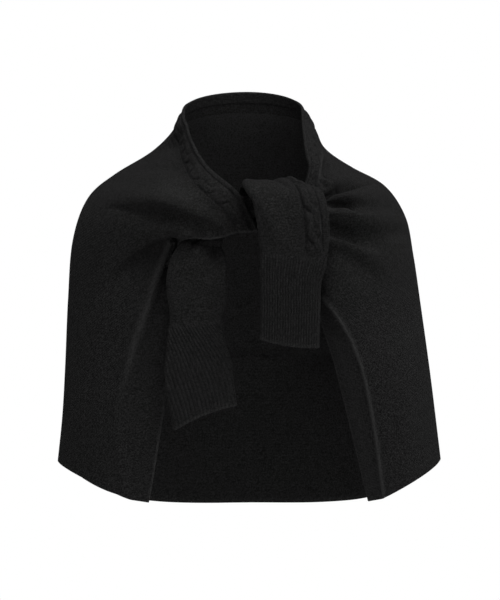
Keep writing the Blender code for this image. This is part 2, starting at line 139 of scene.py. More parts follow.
# side: where the ring crosses the shoulder and side seam. front: where its arc ends.
# tail: how far the cloth goes on from there. swag: 1 scoops like a neckline, 0 runs straight like a hem.
# turn: how softly the arc bends into the tail, as a share of the ring.
FRONTS = {
    "right": [
        Section(-0.0904, 0.025, 0.0596, -0.0120, -0.115, -0.0600, 0.026, 0.006, -0.056, 0.72, 0.13),
        Section(-0.1058, 0.022, 0.0255, -0.0334, -0.122, -0.0851, 0.020, 0.008, -0.034, 0.64, 0.13),
        Section(-0.1367, 0.020, -0.0057, -0.0520, -0.125, -0.0935, 0.021, 0.008, -0.031, 0.62, 0.13),
        Section(-0.1859, 0.018, -0.0326, -0.0733, -0.117, -0.1058, 0.024, -0.002, -0.022, 0.60, 0.13),
        Section(-0.2237, 0.015, -0.0665, -0.1052, -0.106, -0.1166, 0.022, -0.006, -0.011, 0.58, 0.12),
        Section(-0.2447, 0.012, -0.1256, -0.1015, -0.097, -0.1457, 0.012, 0.020, 0.008, 0.50, 0.05),
        Section(-0.2513, 0.010, -0.2100, -0.1280, -0.085, -0.2100, 0.046, -0.009, 0.000, 0.30, 0.06),
        Section(-0.2551, 0.010, -0.3013, -0.1594, -0.085, -0.2980, 0.057, -0.009, 0.000, 0.15, 0.06),
        Section(-0.2590, 0.010, -0.3713, -0.1744, -0.089, -0.3730, 0.059, -0.004, 0.000, 0.05, 0.06),
        Section(-0.2655, 0.010, -0.4347, -0.1612, -0.093, -0.4795, 0.028, 0.006, -0.005, 0.00, 0.06),
    ],
    "left": [
        Section(0.0790, 0.025, 0.0610, 0.0875, -0.085, -0.0264, -0.016, -0.032, -0.052, 1.00, 0.13),
        Section(0.0973, 0.022, 0.0283, 0.1004, -0.085, -0.0305, -0.024, -0.034, -0.050, 0.95, 0.13),
        Section(0.1113, 0.020, 0.0014, 0.1126, -0.095, -0.0473, -0.028, -0.028, -0.034, 0.85, 0.13),
        Section(0.1478, 0.018, -0.0227, 0.1258, -0.105, -0.0681, -0.038, -0.022, -0.018, 0.70, 0.13),
        Section(0.1941, 0.015, -0.0496, 0.1320, -0.118, -0.0916, -0.042, -0.014, -0.005, 0.60, 0.12),
        Section(0.2221, 0.012, -0.0919, 0.1316, -0.126, -0.1188, -0.040, -0.006, 0.003, 0.50, 0.09),
        Section(0.2333, 0.010, -0.1468, 0.1221, -0.128, -0.1591, -0.028, 0.004, 0.012, 0.30, 0.07),
        Section(0.2430, 0.010, -0.2128, 0.1098, -0.135, -0.2167, -0.014, 0.022, -0.005, 0.15, 0.06),
        Section(0.2570, 0.010, -0.3153, 0.1523, -0.140, -0.3101, -0.031, 0.028, 0.000, 0.05, 0.06),
        Section(0.2711, 0.010, -0.4305, 0.1820, -0.135, -0.4747, -0.019, 0.025, -0.006, 0.00, 0.06),
    ],
}

BackSection = namedtuple("BackSection", "back_y back_z swag")
BACK = [
    BackSection(0.062, 0.0858, 1.00),
    BackSection(0.068, 0.0580, 0.95),
    BackSection(0.078, 0.0300, 0.80),
    BackSection(0.093, -0.0120, 0.60),
    BackSection(0.109, -0.0680, 0.40),
    BackSection(0.122, -0.1400, 0.20),
    BackSection(0.129, -0.2280, 0.10),
    BackSection(0.132, -0.3250, 0.05),
    BackSection(0.134, -0.4120, 0.00),
    BackSection(0.137, -0.5050, 0.00),
]

Fold = namedtuple("Fold", "side near_ring near_row far_ring far_row height width")
# A ridge, or a trough where height is negative, along a line from near, where it is whole, to far, where it
# dies out. ring is the share of a ring from the seam to the front edge, and below 0 on the back. width is in
# rows.
FOLDS = [
    Fold("right", 0.62, 2.62, 0.28, 3.60, -0.003, 0.36),
    Fold("right", 0.80, 2.05, 0.08, 3.55, 0.009, 0.45),
    Fold("right", 0.90, 3.70, 0.28, 4.95, 0.003, 0.45),
    Fold("right", 0.64, 4.95, 0.30, 6.10, -0.004, 0.40),
    Fold("right", 0.55, 5.70, 0.38, 7.20, 0.004, 0.50),
    Fold("right", 0.72, 4.70, 0.71, 9.40, 0.006, 0.28),
    Fold("left", 0.97, 2.50, 0.30, 3.20, -0.004, 0.25),
    Fold("left", 0.95, 3.08, 0.40, 3.20, 0.005, 0.30),
    Fold("left", 0.95, 3.42, 0.15, 4.30, -0.009, 0.32),
    Fold("left", 0.95, 3.80, 0.42, 4.40, 0.004, 0.25),
    Fold("left", 0.95, 4.90, 0.40, 5.55, -0.008, 0.42),
    Fold("left", 0.95, 5.40, 0.40, 6.00, 0.003, 0.35),
    Fold("left", 0.93, 6.05, 0.40, 6.80, -0.003, 0.42),
    Fold("left", 0.90, 6.30, 0.45, 7.10, 0.004, 0.40),
    Fold("right", -0.62, 9.40, -0.50, 4.80, 0.005, 0.45),
    Fold("right", -0.88, 9.40, -0.80, 5.60, -0.004, 0.50),
    Fold("left", -0.70, 9.40, -0.62, 5.20, 0.005, 0.45),
    Fold("left", -0.45, 9.40, -0.40, 5.60, -0.004, 0.45),
]
# A fold has its whole height where rows lie this far apart, and less where they come together at the knot
FULL_FOLD_ROW = 0.034
# Rows that count as long as one whole ring, for a fold's slope and width
ROWS_PER_RING = 5.0
# How a fold starts and dies out along its line
FOLD_START_SOFTNESS = 0.05
FOLD_START_FADE = 4.0
FOLD_END_POWER = 0.8

Crease = namedtuple("Crease", "side height above below grows fades worn path")
# Finer creases of the body, in metres. height is below 0 in a hollow, and 0 where the line only gets a
# painted highlight.
# above and below are a crease's widths on the two sides of its path, above on the shoulder's side where the
# path runs away from the knot. grows and fades are the shares of its length in which it starts and dies out,
# the column after fades is how strong a painted highlight its line gets, and path is the (ring, row) places
# that it goes through.
CREASES = [
    # The right front, from the band down to the hem
    Crease("right", -0.0110, 0.022, 0.026, 0.15, 0.30, 0.0,
           ((0.02, 0.98), (0.16, 1.00), (0.30, 1.02), (0.42, 1.05))),
    Crease("right", 0.0, 0.036, 0.005, 0.55, 0.35, 0.17,
           ((0.80, 1.75), (0.65, 1.85), (0.512, 2.00), (0.36, 2.25), (0.27, 2.60))),
    Crease("right", 0.0032, 0.018, 0.012, 0.40, 0.60, 0.0,
           ((0.90, 2.00), (0.78, 2.17), (0.65, 2.15), (0.578, 2.24), (0.512, 2.39), (0.45, 2.59),
            (0.364, 2.91), (0.258, 3.27))),
    Crease("right", -0.0045, 0.020, 0.010, 0.20, 0.60, 0.0,
           ((0.87, 1.65), (0.802, 1.93), (0.73, 2.03), (0.666, 2.06), (0.61, 2.11), (0.554, 2.15))),
    Crease("right", -0.0030, 0.012, 0.012, 0.30, 0.40, 0.0,
           ((0.30, 1.30), (0.216, 1.57), (0.16, 2.06), (0.098, 2.59))),
    Crease("right", -0.0048, 0.0030, 0.013, 0.50, 0.40, 0.0,
           ((0.97, 1.75), (0.922, 2.02), (0.834, 2.29), (0.754, 2.48), (0.68, 2.52), (0.612, 2.64),
            (0.554, 2.82), (0.498, 3.02))),
    Crease("right", -0.0090, 0.0050, 0.070, 0.45, 0.40, 0.0,
           ((0.68, 2.52), (0.612, 2.64), (0.554, 2.82), (0.498, 3.02), (0.43, 3.41), (0.334, 3.73),
            (0.25, 4.08))),
    Crease("right", 0.0060, 0.020, 0.0035, 0.10, 0.55, 0.0,
           ((1.00, 3.36), (0.964, 3.64), (0.90, 3.82), (0.818, 4.04), (0.726, 4.37), (0.668, 4.55),
            (0.626, 4.75), (0.58, 4.96), (0.536, 5.13), (0.484, 5.36), (0.43, 5.66))),
    Crease("right", -0.0095, 0.0030, 0.070, 0.35, 0.45, 0.0,
           ((0.90, 4.00), (0.818, 4.20), (0.726, 4.52), (0.668, 4.70), (0.626, 4.90), (0.58, 5.11),
            (0.536, 5.27), (0.484, 5.50), (0.44, 5.76), (0.40, 6.05))),
    Crease("right", 0.0060, 0.016, 0.012, 0.02, 0.60, 0.0,
           ((0.80, 4.62), (0.768, 4.66), (0.73, 4.70), (0.706, 4.80), (0.692, 4.92), (0.688, 5.06),
            (0.686, 5.20), (0.688, 5.36), (0.694, 5.63), (0.70, 5.80), (0.712, 6.00), (0.712, 6.46),
            (0.72, 7.00), (0.72, 7.44), (0.68, 8.09), (0.61, 8.55))),
    Crease("right", 0.0014, 0.006, 0.008, 0.05, 0.25, 0.32,
           ((0.768, 4.66), (0.72, 4.68), (0.698, 4.80), (0.684, 4.92), (0.68, 5.06), (0.678, 5.20),
            (0.68, 5.36), (0.688, 5.63), (0.694, 5.80), (0.706, 6.00), (0.708, 6.46), (0.716, 7.00),
            (0.72, 7.44), (0.68, 8.09), (0.61, 8.55))),
    Crease("right", -0.0018, 0.018, 0.018, 0.40, 0.60, 0.0,
           ((0.60, 6.00), (0.50, 7.00), (0.44, 8.20))),
    # The left front, from the band down to the hem
    Crease("left", 0.0040, 0.014, 0.009, 0.10, 0.50, 0.0,
           ((0.80, 1.90), (0.60, 2.24), (0.418, 2.58), (0.218, 3.09))),
    Crease("left", 0.0032, 0.0035, 0.0035, 0.20, 0.12, 0.25,
           ((0.098, 1.58), (0.272, 1.43), (0.512, 1.12), (0.716, 1.13), (0.792, 1.37), (0.85, 1.53))),
    Crease("left", -0.0075, 0.005, 0.006, 0.25, 0.45, 0.0,
           ((0.148, 2.04), (0.296, 1.92), (0.584, 1.62), (0.70, 1.74), (0.75, 1.84))),
    Crease("left", -0.0085, 0.010, 0.003, 0.30, 0.40, 0.0,
           ((0.762, 2.66), (0.626, 2.77), (0.466, 3.01), (0.34, 3.21), (0.228, 3.38))),
    Crease("left", -0.0075, 0.005, 0.003, 0.02, 0.40, 0.0,
           ((0.92, 2.54), (0.86, 2.65), (0.766, 2.76), (0.582, 2.92), (0.426, 3.14), (0.314, 3.33),
            (0.188, 3.56), (0.08, 3.80))),
    Crease("left", 0.0030, 0.003, 0.009, 0.05, 0.60, 0.0,
           ((0.90, 2.72), (0.85, 2.82), (0.666, 3.12), (0.444, 3.50), (0.30, 3.86))),
    Crease("left", -0.0075, 0.011, 0.003, 0.02, 0.42, 0.0,
           ((0.92, 3.20), (0.87, 3.31), (0.772, 3.54), (0.676, 3.78), (0.632, 4.06), (0.558, 4.29),
            (0.41, 4.47), (0.256, 4.70), (0.12, 4.94))),
    Crease("left", -0.0055, 0.010, 0.010, 0.35, 0.35, 0.0,
           ((0.70, 3.55), (0.59, 3.75), (0.434, 4.06), (0.336, 4.29), (0.232, 4.47), (0.15, 4.62))),
    Crease("left", 0.0040, 0.003, 0.014, 0.02, 0.60, 0.1,
           ((0.92, 3.28), (0.86, 3.41), (0.726, 3.80), (0.606, 4.25), (0.482, 4.56), (0.304, 4.94))),
    Crease("left", -0.0100, 0.022, 0.004, 0.02, 0.60, 0.0,
           ((0.92, 5.08), (0.842, 5.16), (0.738, 5.23), (0.652, 5.39), (0.58, 5.54), (0.472, 5.75),
            (0.332, 5.96))),
    Crease("left", -0.0055, 0.014, 0.014, 0.35, 0.40, 0.0,
           ((0.66, 5.05), (0.574, 5.22), (0.468, 5.31), (0.374, 5.36), (0.218, 5.38), (0.12, 5.40))),
    Crease("left", 0.0040, 0.006, 0.014, 0.02, 0.60, 0.0,
           ((0.92, 5.16), (0.826, 5.27), (0.734, 5.35), (0.636, 5.58), (0.572, 5.79), (0.474, 6.01),
            (0.36, 6.26))),
    Crease("left", -0.0045, 0.012, 0.012, 0.10, 0.45, 0.0,
           ((0.88, 5.62), (0.816, 5.66), (0.71, 5.75), (0.626, 5.97), (0.544, 6.27), (0.484, 6.53),
            (0.408, 6.95))),
    Crease("left", 0.0025, 0.010, 0.012, 0.20, 0.70, 0.0,
           ((0.865, 6.10), (0.675, 6.34), (0.603, 6.68), (0.57, 6.95), (0.54, 7.40))),
    Crease("left", 0.0, 0.022, 0.022, 0.20, 0.02, 0.16,
           ((0.86, 7.20), (0.86, 7.80), (0.87, 8.40), (0.88, 9.00), (0.89, 9.40))),
    Crease("left", 0.0034, 0.0028, 0.0034, 0.10, 0.02, 0.62,
           ((0.86, 6.78), (0.80, 6.88), (0.735, 7.02), (0.705, 7.20), (0.695, 7.50), (0.703, 7.80),
            (0.708, 8.15), (0.708, 8.55), (0.72, 9.00), (0.73, 9.40))),
    # The back, and last the fold across it that shows inside
    Crease("right", -0.0055, 0.018, 0.011, 0.40, 0.60, 0.0,
           ((-0.30, 2.20), (-0.34, 4.20), (-0.42, 6.40))),
    Crease("left", -0.0060, 0.012, 0.019, 0.40, 0.60, 0.0,
           ((-0.36, 2.00), (-0.34, 4.00), (-0.30, 6.00))),
    Crease("right", 0.0050, 0.012, 0.017, 0.40, 0.60, 0.0,
           ((-0.14, 3.40), (-0.18, 5.60), (-0.22, 8.40))),
    Crease("left", 0.0046, 0.015, 0.012, 0.40, 0.60, 0.0,
           ((-0.12, 3.20), (-0.16, 5.20), (-0.20, 7.80))),
    Crease("left", 0.0060, 0.002, 0.018, 0.30, 0.02, 0.0,
           ((-0.50, 6.62), (-0.80, 6.64), (-1.00, 6.60))),
    Crease("right", 0.0060, 0.018, 0.002, 0.02, 0.30, 0.0,
           ((-1.00, 6.60), (-0.80, 6.54), (-0.50, 6.48))),
]
CREASE_STEPS = 60
# A crease is left out of account further away than this many of its widths
CREASE_REACH = 3.0

Tube = namedtuple("Tube", "x y z half_width half_thick")
# Centre and half sizes of each section of a flattened sleeve, in the order that the cloth runs.
RIGHT_SLEEVE = [
    Tube(-0.008, -0.103, -0.106, 0.019, 0.0055),
    Tube(-0.006, -0.085, -0.1130, 0.020, 0.0060),
    Tube(-0.002, -0.064, -0.106, 0.024, 0.0070),
    Tube(0.006, -0.056, -0.088, 0.028, 0.0070),
    Tube(0.018, -0.066, -0.064, 0.030, 0.0070),
    Tube(0.028, -0.096, -0.0560, 0.034, 0.0075),
    Tube(0.041, -0.130, -0.0575, 0.0435, 0.0080),
    Tube(0.053, -0.152, -0.0710, 0.0475, 0.0080),
    Tube(0.0591, -0.160, -0.0920, 0.0482, 0.0080),
    Tube(0.0626, -0.162, -0.1200, 0.0474, 0.0080),
    Tube(0.0624, -0.162, -0.1500, 0.0442, 0.0075),
    Tube(0.0585, -0.162, -0.1800, 0.0392, 0.0070),
    Tube(0.058, -0.161, -0.2200, 0.038, 0.0070),
    Tube(0.057, -0.160, -0.2665, 0.0375, 0.0070),
]
LEFT_SLEEVE = [
    Tube(0.080, -0.100, -0.096, 0.016, 0.0075),
    Tube(0.048, -0.093, -0.089, 0.015, 0.0075),
    Tube(0.006, -0.086, -0.084, 0.015, 0.0075),
    Tube(-0.034, -0.090, -0.090, 0.016, 0.0075),
    Tube(-0.048, -0.096, -0.116, 0.0190, 0.0070),
    Tube(-0.062, -0.1030, -0.143, 0.0350, 0.0070),
    Tube(-0.0671, -0.1075, -0.172, 0.0412, 0.0075),
    Tube(-0.0665, -0.1105, -0.210, 0.0395, 0.0075),
    Tube(-0.0690, -0.1115, -0.238, 0.0352, 0.0070),
    Tube(-0.0692, -0.1115, -0.270, 0.0382, 0.0070),
    Tube(-0.0655, -0.1115, -0.312, 0.0442, 0.0070),
    Tube(-0.0562, -0.1115, -0.3677, 0.0414, 0.0070),
]
SLEEVES = {"right": RIGHT_SLEEVE, "left": LEFT_SLEEVE}

# Where the right sleeve folds over the knot, its +X side droops: how far, from which share across the flat,
# round which row, and over how many
DROOP_DEPTH = 0.007
DROOP_FROM = 0.10
DROOP_ROW = 6.3
DROOP_ROWS = 1.2

Stretch = namedtuple(
    "Stretch", "name side first_row last_row stations points knit cable slants bow ribs twist droop"
)
# The pieces of each sleeve. knit is plain, ribbed, or bunched where the knot presses the cloth into a roll.
# cable is the cable's place across the sleeve, 0 for none. slants are how much lower its start and end hang
# at -X than at +X, bow is how much higher the end hangs in the middle, twist is how far its ribs turn, in
# ribs, and droop is how far its +X side hangs down.
STRETCHES = [
    Stretch("right_sleeve_wrap", "right", 0, 4, 60, 64, "bunched", 0.0, (0.0, 0.0), 0.0, 0, 0.0, 0.0),
    Stretch("right_sleeve", "right", 4, 10, 180, 240, "plain", 0.0262, (0.0, 0.0), 0.0, 0, 0.0, DROOP_DEPTH),
    Stretch("right_cuff", "right", 10, 13, 60, 276, "ribbed", 0.0, (0.0, -0.009), -0.003, 46, 0.0, 0.0),
    Stretch("left_sleeve_pass", "left", 0, 4, 60, 64, "bunched", 0.0, (0.0, 0.016), 0.0, 0, 0.0, 0.0),
    Stretch("left_sleeve", "left", 4, 8, 90, 140, "plain", 0.0, (0.016, 0.011), 0.0, 0, 0.0, 0.0),
    Stretch("left_cuff", "left", 8, 11, 70, 252, "ribbed", 0.0, (0.011, 0.019), 0.005, 36, -8.0, 0.0),
]
# A cuff's rib turns most at its start
TWIST_EASE = 1.8

SleeveCrease = namedtuple("SleeveCrease", "name height outer inner grows fades path")
# Creases on the outer face of a flattened sleeve. outer is the width towards -X, inner towards +X, and path
# is the (share across the flat, row) places that it goes through.
SLEEVE_CREASES = [
    SleeveCrease("right_sleeve", 0.0045, 0.009, 0.009, 0.3, 0.4,
                 ((-0.96, 4.6), (-0.97, 5.4), (-0.97, 6.2), (-0.97, 6.8))),
    SleeveCrease("left_sleeve_pass", 0.0120, 0.014, 0.014, 0.4, 0.4,
                 ((0.0, 1.4), (0.0, 2.0), (0.0, 2.6), (0.0, 3.2))),
    SleeveCrease("right_sleeve", -0.0040, 0.006, 0.004, 0.3, 0.6,
                 ((0.05, 5.0), (0.06, 6.2), (0.14, 7.4))),
    SleeveCrease("right_sleeve", 0.0040, 0.006, 0.009, 0.3, 0.5,
                 ((0.36, 4.8), (0.38, 5.8), (0.40, 6.9))),
    SleeveCrease("right_sleeve", 0.0026, 0.009, 0.008, 0.3, 0.4,
                 ((-0.75, 7.0), (-0.62, 8.4), (-0.30, 10.2))),
    SleeveCrease("right_sleeve", -0.0014, 0.008, 0.010, 0.3, 0.4,
                 ((-0.20, 7.2), (-0.10, 8.6), (0.05, 10.0))),
    SleeveCrease("left_sleeve", -0.0075, 0.003, 0.003, 0.1, 0.5,
                 ((-0.36, 4.2), (-0.40, 4.7), (-0.44, 5.2))),
    SleeveCrease("left_sleeve", 0.0040, 0.012, 0.012, 0.1, 0.6,
                 ((-0.25, 4.8), (-0.12, 5.5), (0.00, 6.8))),
    SleeveCrease("left_sleeve", -0.0080, 0.010, 0.014, 0.1, 0.6,
                 ((0.45, 4.4), (0.60, 5.3), (0.62, 6.6))),
    SleeveCrease("left_sleeve", -0.0016, 0.008, 0.008, 0.4, 0.5,
                 ((0.70, 6.2), (0.55, 7.2), (0.30, 8.2))),
]

# Wrinkles along a bunched roll: how many go round it, how high they are, and how far they wander along it.
# Fewer and lower ones cross them, and both are sunk by a share of their height.
WRINKLES = 5
CROSSING_WRINKLES = 3
WRINKLE_HEIGHT = 0.0012
WRINKLE_TURNS = 0.3
CROSSING_WRINKLE_SHARE = 0.6
WRINKLE_SINK = 1.2

# Free edges and the cuffs' ends get a painted highlight along their rims, over this width and by these
# shares
PAINTED_RIM_WIDTH = 0.0020
PAINTED_RIM_SHARES = {"top": 0.04, "hem": 0.16, "front": 0.42}
PAINTED_CUFF_RIM_SHARE = 0.35
# The back's inside gets painted light below the band, lifting the shade that the knot and band cast there,
# less and less over this many rows
PAINTED_LIGHT_INSIDE = 0.34
PAINTED_LIGHT_INSIDE_ROWS = 5.0


def smooth_rows(table, row):
    """The table's columns at a row that may lie between two, on a Catmull-Rom curve through all of them."""
    values = np.array(table, float)
    values = np.vstack([2 * values[0] - values[1], values, 2 * values[-1] - values[-2]])
    row = np.asarray(row, float)
    first = np.clip(np.floor(row).astype(int), 0, len(table) - 2)
    share = (row - first)[..., None]
    before, start, end, after = (values[first + step] for step in range(4))
    squared = 2 * before - 5 * start + 4 * end - after
    cubed = 3 * start - before - 3 * end + after
    return 0.5 * (2 * start + (end - before) * share + squared * share**2 + cubed * share**3)


def soft_ramp(x, half):
    """0 below -half, x above +half, and a parabola between."""
    return np.where(x < -half, 0.0, np.where(x > half, x, (x + half) ** 2 / (4 * half)))


def smooth_step(x):
    x = np.clip(x, 0, 1)
    return x * x * (3 - 2 * x)


def unit(vectors):
    return vectors / np.maximum(np.linalg.norm(vectors, axis=-1, keepdims=True), LEAST_LENGTH)


def front_ring(side, row, ring):
    section = Section(*np.moveaxis(smooth_rows(FRONTS[side], row), -1, 0))
    past = soft_ramp(ring - ARC_SHARE, section.turn)
    turn = (ring - past) / ARC_SHARE * pi / 2
    tail = past / (1 - ARC_SHARE)
    drop = (1 - section.swag) * (1 - np.cos(turn)) + section.swag * np.sin(turn)
    x = section.front_x + (section.side_x - section.front_x) * np.cos(turn) + tail * section.tail_x
    y = section.side_y + (section.front_y - section.side_y) * np.sin(turn) + tail * section.tail_y
    z = section.side_z + (section.front_z - section.side_z) * drop + tail * section.tail_z
    return np.stack([x, y, z], -1)


def back_ring(side, row, ring):
    section = Section(*np.moveaxis(smooth_rows(FRONTS[side], row), -1, 0))
    back = BackSection(*np.moveaxis(smooth_rows(BACK, row), -1, 0))
    turn = -ring * pi / 2
    rise = (1 - back.swag) * (1 - np.abs(np.cos(turn)) ** BACK_FLATNESS) + back.swag * np.sin(turn)
    x = section.side_x * np.cos(turn)
    y = section.side_y + (back.back_y - section.side_y) * np.sin(turn)
    z = section.side_z + (back.back_z - section.side_z) * rise
    return np.stack([x, y, z], -1)


def plain_body(side, row, ring):
    """The body's outer face with no folds. ring is 0 at the seam, 1 in front and -1 at the back's middle."""
    return np.where((ring >= 0)[..., None], front_ring(side, row, ring), back_ring(side, row, ring))


def outward(surface, side, row, ring):
    """Unit normals of a body surface, by differences that reach across the seam."""
    across = surface(side, row, ring + RING_STEP) - surface(side, row, ring - RING_STEP)
    down = surface(side, row + ROW_STEP, ring) - surface(side, row - ROW_STEP, ring)
    return unit(SIDES[side] * np.cross(across, down))


def fold_height(side, row, ring):
    height = np.zeros_like(row)
    for fold in FOLDS:
        if fold.side != side:
            continue
        run_ring = (fold.far_ring - fold.near_ring) * ROWS_PER_RING
        run_row = fold.far_row - fold.near_row
        length = np.hypot(run_ring, run_row)
        at_ring = (ring - fold.near_ring) * ROWS_PER_RING
        at_row = row - fold.near_row
        share = (at_ring * run_ring + at_row * run_row) / length**2
        across = (at_ring * run_row - at_row * run_ring) / length
        start = np.exp(-soft_ramp(-share, FOLD_START_SOFTNESS) * FOLD_START_FADE)
        fade = start * np.cos(pi / 2 * np.clip(share, 0, 1)) ** FOLD_END_POWER
        height += fold.height * fade * np.exp(-((across / fold.width) ** 2))
    return height


def body(side, row, ring):
    """The body's outer face, with its main folds."""
    above, below = plain_body(side, row - ROW_STEP, ring), plain_body(side, row + ROW_STEP, ring)
    row_length = np.linalg.norm(below - above, axis=-1) / (2 * ROW_STEP)
    height = fold_height(side, row, ring) * np.clip(row_length / FULL_FOLD_ROW, 0, 1)
    return plain_body(side, row, ring) + outward(plain_body, side, row, ring) * height[..., None]


def curve_through(path):
    """Points along a smooth curve through a few pairs."""
    return smooth_rows(path, np.linspace(0, len(path) - 1, CREASE_STEPS))


def beside_line(points, normals, line):
    """Each point's distance from a line, on which side it lies (1 or -1), and its share along the line."""
    path = unit(np.gradient(line, axis=0))
    reach = np.full(points.shape[:-1], np.inf)
    nearest = np.zeros(points.shape[:-1], int)
    for step, place in enumerate(line):
        gap = np.sum((points - place) ** 2, axis=-1)
        closer = gap < reach
        reach[closer] = gap[closer]
        nearest[closer] = step
    offset = points - line[nearest]
    run = path[nearest]
    along = np.sum(offset * run, axis=-1, keepdims=True)
    inside = (nearest > 0) & (nearest < len(line) - 1)
    offset = np.where(inside[..., None], offset - along * run, offset)
    side = np.sign(np.sum(offset * np.cross(normals, run), axis=-1))
    return np.linalg.norm(offset, axis=-1), side, nearest / (len(line) - 1)


def crease_profile(points, normals, line, crease, widths, above):
    """A crease's share of its height at each point. widths are its two sides', and above is 1 or -1."""
    profile = np.zeros(points.shape[:-1])
    reach = CREASE_REACH * max(widths)
    near = np.all((points > line.min(axis=0) - reach) & (points < line.max(axis=0) + reach), axis=-1)
    distance, side, share = beside_line(points[near], normals[near], line)
    width = np.where(side * above > 0, *widths)
    fade = smooth_step(share / crease.grows) * smooth_step((1 - share) / crease.fades)
    profile[near] = fade * np.exp(-((distance / width) ** 2))
    return profile


def body_creases(points, normals):
    """The finer creases' height, and the painted highlight on their lines, on any part of the body."""
    height = np.zeros(points.shape[:-1])
    worn = np.zeros(points.shape[:-1])
    for crease in CREASES:
        place = curve_through(crease.path)
        line = body(crease.side, place[:, 1], place[:, 0])
        widths = (crease.above, crease.below)
        profile = crease_profile(points, normals, line, crease, widths, SIDES[crease.side])
        height += crease.height * profile
        worn = np.maximum(worn, crease.worn * profile**2)
    return height, worn


def strand(across):
    return np.clip(1 - (across / STRAND_HALF) ** 2, 0, 1) ** STRAND_ROUNDNESS


def cable_height(along, across, repeat, height, cut):
    """A rope cable's relief. along is metres, across runs from -1 to 1 over the cable."""
    phase = np.mod(along / repeat, 1.0)
    crossing = smooth_step((phase - CROSS_START) / CROSS_LENGTH)
    lifted = np.sin(pi * crossing)
    place = across + STRAND_SWING * np.cos(pi * crossing)
    under = strand(across - STRAND_SWING * np.cos(pi * crossing)) * (1 - STRAND_SINK * lifted)
    edge = lifted * np.exp(-(((place + STRAND_HALF) / STRAND_EDGE_HALF) ** 2)) * (np.abs(across) < 1)
    return height * (np.maximum(strand(place), under) - cut * edge)


def band_relief(share, along):
    """The neck band's relief: a rolled edge, a groove, the cable, and a groove."""
    roll = EDGE_ROLL_HEIGHT * np.clip(1 - ((share - EDGE_ROLL_AT) / EDGE_ROLL_HALF) ** 2, 0, 1)
    grooves = sum(np.exp(-(((share - at) / GROOVE_HALF) ** 2)) for at in GROOVES)
    place = (BAND_CABLE_AT - share) / BAND_CABLE_HALF
    along = along + BAND_CABLE_WANDER * np.sin(2 * pi * along / BAND_CABLE_WANDERS_OVER)
    cable = cable_height(along, place, BAND_CABLE_REPEAT, BAND_CABLE_HEIGHT, BAND_STRAND_CUT)
    return roll + cable - GROOVE_DEPTH * grooves


def length_along(points, axis):
    """Metres along each row or column of a grid of points, from its start."""
    steps = np.linalg.norm(np.diff(points, axis=axis), axis=-1)
    start = np.zeros_like(np.take(steps, [0], axis=axis))
    return np.concatenate([start, np.cumsum(steps, axis=axis)], axis=axis)


def grid_normals(points, wrapped, facing):
    """Unit normals of a grid of points, by differences between neighbours."""
    if wrapped:
        across = np.roll(points, -1, axis=1) - np.roll(points, 1, axis=1)
    else:
        across = np.gradient(points, axis=1)
    return facing * unit(np.cross(across, np.gradient(points, axis=0)))


def quads(index):
    corners = [index[:-1, :-1], index[:-1, 1:], index[1:, 1:], index[1:, :-1]]
    return np.stack(corners, -1).reshape(-1, 4)


def rims(index, wrapped):
    """The grid's open edges as closed runs of numbers, in the turning sense of its quads."""
    if wrapped:
        return [index[0], index[-1, ::-1]]
    around = [index[0, :-1], index[:-1, -1], index[-1, :0:-1], index[::-1, 0]]
    return [np.concatenate(around)]


def inward_neighbours(rows, columns, wrapped):
    """For each point of a grid, the point one step in from the grid's open edges."""
    row = np.clip(np.arange(rows), 1, rows - 2)
    column = np.arange(columns)
    if not wrapped:
        column = np.clip(column, 1, columns - 2)
    return (row[:, None] * columns + column[None, :]).ravel()


def add_wall(name, outer, inner, uv, worn, inner_painted_light, sewn, wrapped, facing, material):
    """A closed cloth wall between two equal grids of points. uv is in metres.

    Its edges are rounded, or flat and sharp where sewn says that they meet another piece."""
    rows, columns = outer.shape[:2]
    count = rows * columns
    index = np.arange(count).reshape(rows, columns)
    if wrapped:
        index = np.hstack([index, index[:, :1]])
    uv_index = np.arange(uv.shape[0] * uv.shape[1]).reshape(uv.shape[:2])
    step_in = inward_neighbours(rows, columns, wrapped)
    outer, inner = outer.reshape(-1, 3), inner.reshape(-1, 3)
    worn, sewn = worn.ravel(), sewn.ravel()
    points = [outer, inner]
    faces = [quads(index), quads(index)[:, ::-1] + count]
    uv_faces = [quads(uv_index), quads(uv_index)[:, ::-1]]
    painted_light_points = [worn, inner_painted_light.ravel()]
    sewn_points = [sewn, sewn]
    made = 2 * count
    for run, uv_run in zip(rims(index, wrapped), rims(uv_index, wrapped)):
        run = run[:-1]
        out = unit(outer[run] - outer[step_in[run]])
        half = np.linalg.norm(outer[run] - inner[run], axis=1, keepdims=True) / 2
        free = ~sewn[run]
        points.append((outer[run] + inner[run]) / 2 + out * half * free[:, None])
        painted_light_points.append(worn[run])
        sewn_points.append(np.zeros(len(run), bool))
        after = np.roll(np.arange(len(run)), -1)
        middle = made + np.arange(len(run))
        faces.append(np.stack([run[after], run, middle, made + after], -1))
        faces.append(np.stack([made + after, middle, run + count, run[after] + count], -1))
        uv_faces += 2 * [np.stack([uv_run[1:], uv_run[:-1], uv_run[:-1], uv_run[1:]], -1)]
        made += len(run)
    loop_uv = uv.reshape(-1, 2)[np.concatenate(uv_faces)]
    return add_mesh(
        name, np.concatenate(points), np.concatenate(faces), loop_uv,
        np.concatenate(painted_light_points), np.concatenate(sewn_points), facing, material,
    )


